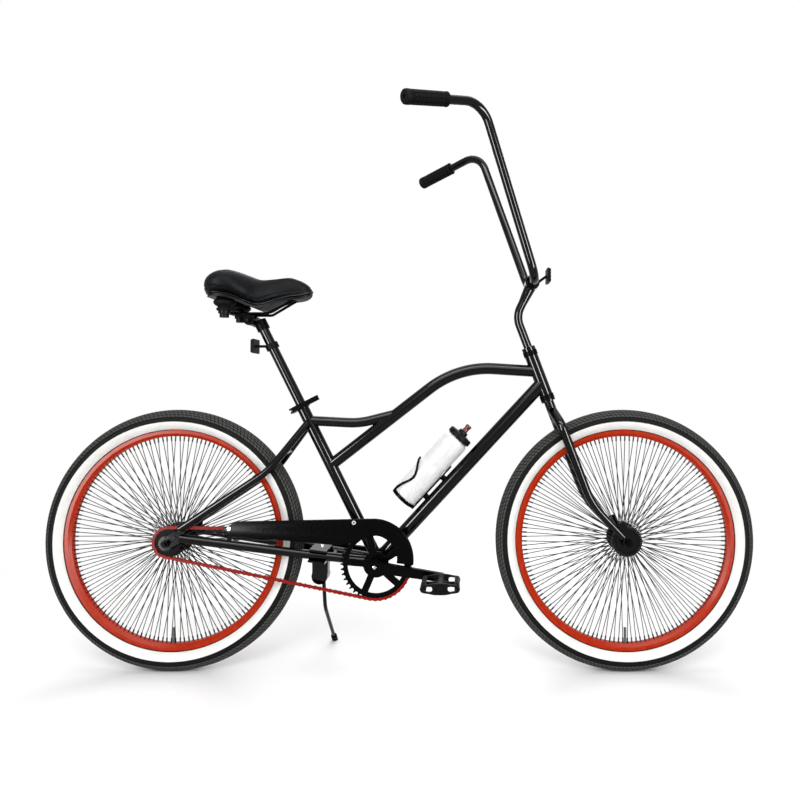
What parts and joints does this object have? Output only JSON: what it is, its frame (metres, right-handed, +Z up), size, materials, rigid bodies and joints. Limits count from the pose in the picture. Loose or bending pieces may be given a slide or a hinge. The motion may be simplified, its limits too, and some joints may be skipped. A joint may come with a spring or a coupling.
{
  "type": "beach cruiser bicycle",
  "caption": "Beach cruiser bicycle with curved top tube, tall swept handlebar, dense black spokes, red rims, white sidewalls, chain guard, bottle and kickstand.",
  "frame": {"origin": "on the ground midway between the axles and midway between the grip ends", "axes": "+X forward, +Y to the rider's left, +Z up; the bicycle leans 3 degrees to its left, onto its kickstand"},
  "size_m": [1.794, 0.6544, 1.3961],
  "materials": {
    "gloss_black": "gloss black enamel on steel",
    "black_parts": "satin black coated steel",
    "bearing_steel": "ground bearing steel",
    "bright_steel": "zinc plated steel",
    "black_spokes": "black coated steel wire",
    "red_chain": "red coated steel links",
    "red_rim": "orange red enamel on aluminium",
    "black_tyre": "black rubber with block tread",
    "white_wall": "white rubber band",
    "tube_rubber": "butyl rubber",
    "grip_rubber": "soft black rubber",
    "pedal_plastic": "moulded black plastic",
    "saddle_cover": "satin black synthetic leather over foam",
    "reflector_plastic": "black housing with a prism lens",
    "bottle_white": "white squeeze plastic",
    "spout_red": "red plastic"
  },
  "bodies": {
    "frame": {"head_tube": "gloss_black", "top_tube": "gloss_black", "brace_tube": "gloss_black", "down_tube": "gloss_black", "seat_tube": "gloss_black", "bottom_bracket_shell": "gloss_black", "rear_stays": "gloss_black", "frame_fittings": "gloss_black", "bearing_cups": "black_parts", "frame_bearings": "bearing_steel", "seat_clamp": "gloss_black", "chain_guard": "gloss_black", "frame_bolts": "bright_steel", "chain": "red_chain", "kickstand_bracket": "gloss_black", "bottle_cage": "black_parts", "rear_axle_set": "black_parts", "brake_arm": "gloss_black"},
    "steering": {"fork_steerer": "gloss_black", "fork_blades": "gloss_black", "front_axle_set": "black_parts"},
    "stem": {"stem": "gloss_black", "stem_clamp_cap": "gloss_black", "stem_bolts": "black_parts", "front_reflector": "reflector_plastic"},
    "handlebar": {"handlebar": "gloss_black", "grips": "grip_rubber"},
    "front_wheel": {"front_tyre": "black_tyre", "front_whitewalls": "white_wall", "front_inner_tube": "tube_rubber", "front_rim": "red_rim", "front_spokes": "black_spokes", "front_hub": "gloss_black", "front_hub_bearings": "bearing_steel"},
    "rear_wheel": {"rear_tyre": "black_tyre", "rear_whitewalls": "white_wall", "rear_inner_tube": "tube_rubber", "rear_rim": "red_rim", "rear_spokes": "black_spokes", "rear_hub": "gloss_black", "rear_hub_bearings": "bearing_steel"},
    "sprocket": {"rear_sprocket": "black_parts"},
    "crank": {"crank_axle_set": "black_parts", "crank_arms": "gloss_black", "chainring": "gloss_black"},
    "left_pedal": {"left_pedal": "pedal_plastic"},
    "right_pedal": {"right_pedal": "pedal_plastic"},
    "seat_post": {"seat_post": "gloss_black", "saddle_clamp": "black_parts", "rear_reflector": "reflector_plastic"},
    "saddle": {"saddle_rails": "black_parts", "saddle_base": "pedal_plastic", "saddle_cushion": "saddle_cover", "saddle_shocks": "grip_rubber"},
    "kickstand": {"kickstand_leg": "gloss_black", "kickstand_foot": "grip_rubber"},
    "seat_lever": {"seat_lever": "black_parts"},
    "bottle": {"bottle": "bottle_white", "bottle_cap": "pedal_plastic"},
    "bottle_spout": {"bottle_spout": "spout_red"}
  },
  "joints": [
    {"name": "steering_turn", "type": "hinge", "parent": "frame", "child": "steering", "pos_m": [0.37425, -0.03388, 0.6917], "axis": [-0.3518, 0.049, 0.9348], "range_deg": [-70, 70]},
    {"name": "stem_height", "type": "slide", "parent": "steering", "child": "stem", "axis": [-0.3518, 0.049, 0.9348], "range_m": [0, 0.04]},
    {"name": "handlebar_roll", "type": "hinge", "parent": "stem", "child": "handlebar", "pos_m": [0.33903, -0.01886, 0.97826], "axis": [0, 0.9986, -0.0523], "range_deg": [-20, 20]},
    {"name": "front_wheel_spin", "type": "hinge", "parent": "steering", "child": "front_wheel", "pos_m": [0.57, -0.05301, 0.32659], "axis": [0, 0.9986, -0.0523], "continuous": true},
    {"name": "rear_wheel_spin", "type": "hinge", "parent": "frame", "child": "rear_wheel", "pos_m": [-0.57, -0.05301, 0.32659], "axis": [0, 0.9986, -0.0523], "continuous": true},
    {"name": "crank_spin", "type": "hinge", "parent": "frame", "child": "crank", "pos_m": [-0.05439, -0.05584, 0.27266], "axis": [0, 0.9986, -0.0523], "continuous": true, "deforming": ["chain"]},
    {"name": "sprocket_spin", "type": "hinge", "parent": "frame", "child": "sprocket", "pos_m": [-0.57, -0.05301, 0.32659], "axis": [0, 0.9986, -0.0523], "continuous": true},
    {"name": "left_pedal_spin", "type": "hinge", "parent": "crank", "child": "left_pedal", "pos_m": [-0.21745, -0.05452, 0.29787], "axis": [0, 0.9986, -0.0523], "continuous": true},
    {"name": "right_pedal_spin", "type": "hinge", "parent": "crank", "child": "right_pedal", "pos_m": [0.10867, -0.05716, 0.24746], "axis": [0, 0.9986, -0.0523], "continuous": true},
    {"name": "kickstand_fold", "type": "hinge", "parent": "frame", "child": "kickstand", "pos_m": [-0.19939, -0.03745, 0.23565], "axis": [0, 0.9986, -0.0523], "range_deg": [0, 95]},
    {"name": "seat_height", "type": "slide", "parent": "frame", "child": "seat_post", "axis": [-0.454, 0.0466, 0.8898], "range_m": [-0.1, 0.06]},
    {"name": "saddle_tilt", "type": "hinge", "parent": "seat_post", "child": "saddle", "pos_m": [-0.38304, -0.02393, 0.88158], "axis": [0, 0.9986, -0.0523], "range_deg": [-10, 10]},
    {"name": "seat_lever_swing", "type": "hinge", "parent": "frame", "child": "seat_lever", "pos_m": [-0.2744, -0.05009, 0.6518], "axis": [0.454, -0.0466, -0.8898], "range_deg": [0, 160]},
    {"name": "bottle_lift", "type": "slide", "parent": "frame", "child": "bottle", "axis": [0.6815, 0.0383, 0.7309], "range_m": [0, 0.12]},
    {"name": "spout_pull", "type": "slide", "parent": "bottle", "child": "bottle_spout", "axis": [0.6815, 0.0383, 0.7309], "range_m": [0, 0.005]}
  ],
  "couplings": [
    {"joint": "sprocket_spin", "follows": "crank_spin", "ratio": 2.3333}
  ]
}
